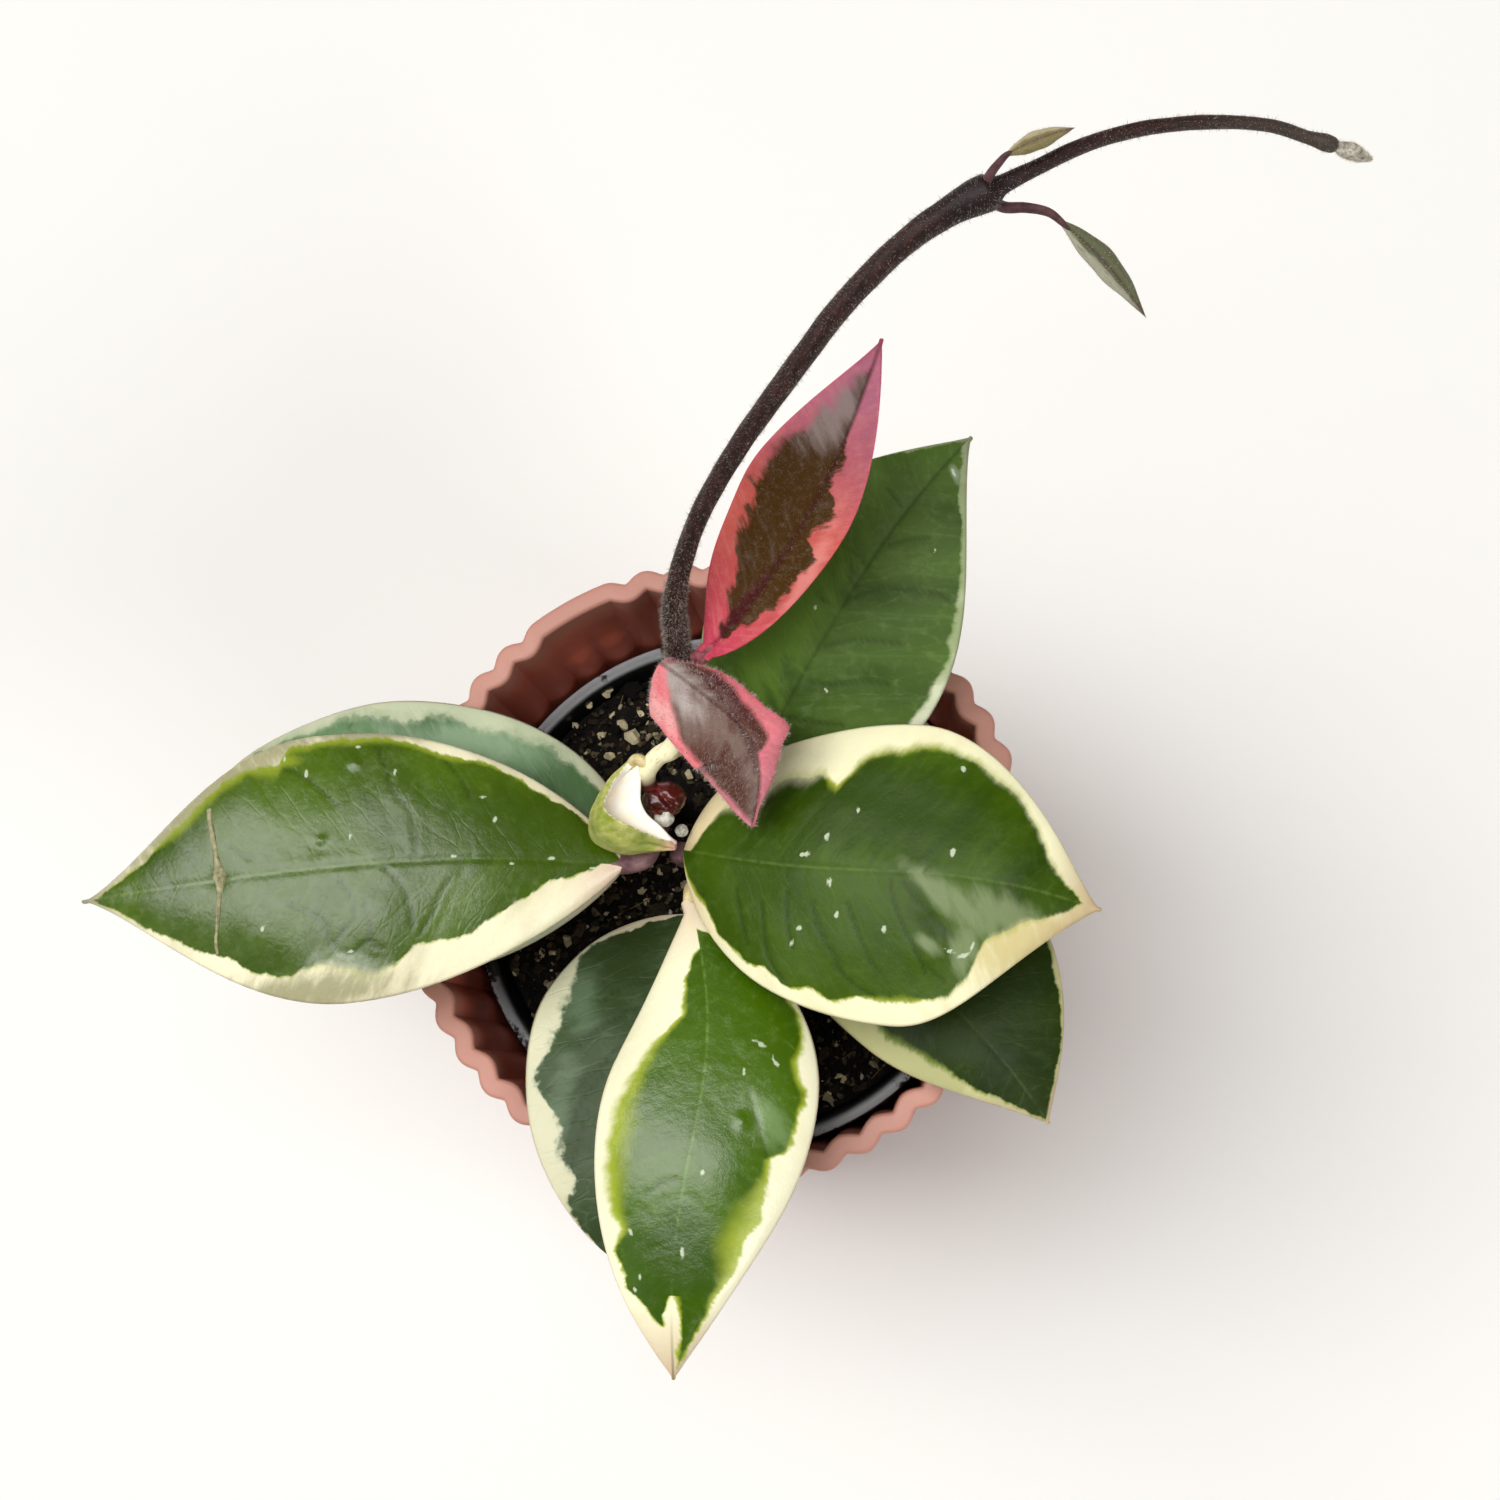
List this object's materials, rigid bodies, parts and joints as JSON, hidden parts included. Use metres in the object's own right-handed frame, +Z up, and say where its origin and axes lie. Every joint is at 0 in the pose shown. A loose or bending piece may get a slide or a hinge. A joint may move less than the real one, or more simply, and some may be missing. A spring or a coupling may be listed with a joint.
{
  "type": "potted wax plant",
  "caption": "Small wax plant with pink and cream edged leaves and a long arching runner, in a nursery pot inside a fluted cover pot.",
  "frame": {"origin": "middle of the cover pot's flat underside, on the surface it stands on", "axes": "+Z up through the middle of the pot; the front leaf points to -Y, the large leaf on the right to +X"},
  "size_m": [0.1346, 0.1188, 0.1305],
  "materials": {
    "pot": "satin moulded plastic, dusty rose",
    "nursery_pot": "thin black moulded plastic",
    "soil": null,
    "stem": "brown stem bark",
    "shoot": "maroon brown young stem with short pale hairs",
    "leaf": null,
    "leaf_grey": null,
    "leaf_pink": null,
    "leaf_cream": null,
    "bud": null
  },
  "bodies": {
    "root": {"outer_pot": "pot", "grow_pot": "nursery_pot", "soil": "soil", "main_stem": "stem", "shoot_stem": "shoot", "leaf_left": "leaf", "leaf_left_under": "leaf_grey", "leaf_front": "leaf", "leaf_front_under": "leaf_grey", "leaf_right": "leaf", "leaf_right_under": "leaf", "leaf_back": "leaf", "leaf_pink_tall": "leaf_pink", "leaf_pink_small": "leaf_pink", "leaf_curled": "leaf_cream", "bud_leaf_upper": "bud", "bud_leaf_lower": "bud"}
  },
  "joints": []
}
